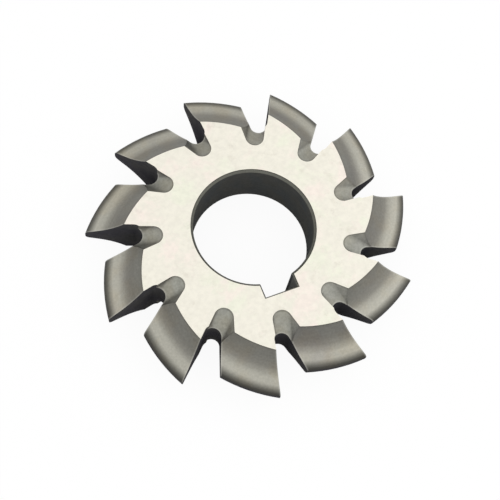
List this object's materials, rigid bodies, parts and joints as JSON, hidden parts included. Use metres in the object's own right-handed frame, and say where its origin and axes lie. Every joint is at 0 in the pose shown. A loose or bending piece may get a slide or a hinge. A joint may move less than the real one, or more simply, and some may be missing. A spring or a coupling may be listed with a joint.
{
  "type": "involute gear cutter",
  "caption": "Disc-shaped form-relieved milling cutter for gear teeth, with a keyed arbor bore and radial cutting faces between open chip gullets.",
  "frame": {"origin": "centre of the bore at mid-thickness", "axes": "+Z along the bore axis, square to both side faces; the keyway points along -Y"},
  "size_m": [0.0602, 0.0602, 0.0104],
  "materials": {
    "tool_steel": "ground bright on the side faces, finer satin grey on the relieved flanks"
  },
  "bodies": {
    "root": {"gear_cutter": "tool_steel"}
  },
  "joints": []
}
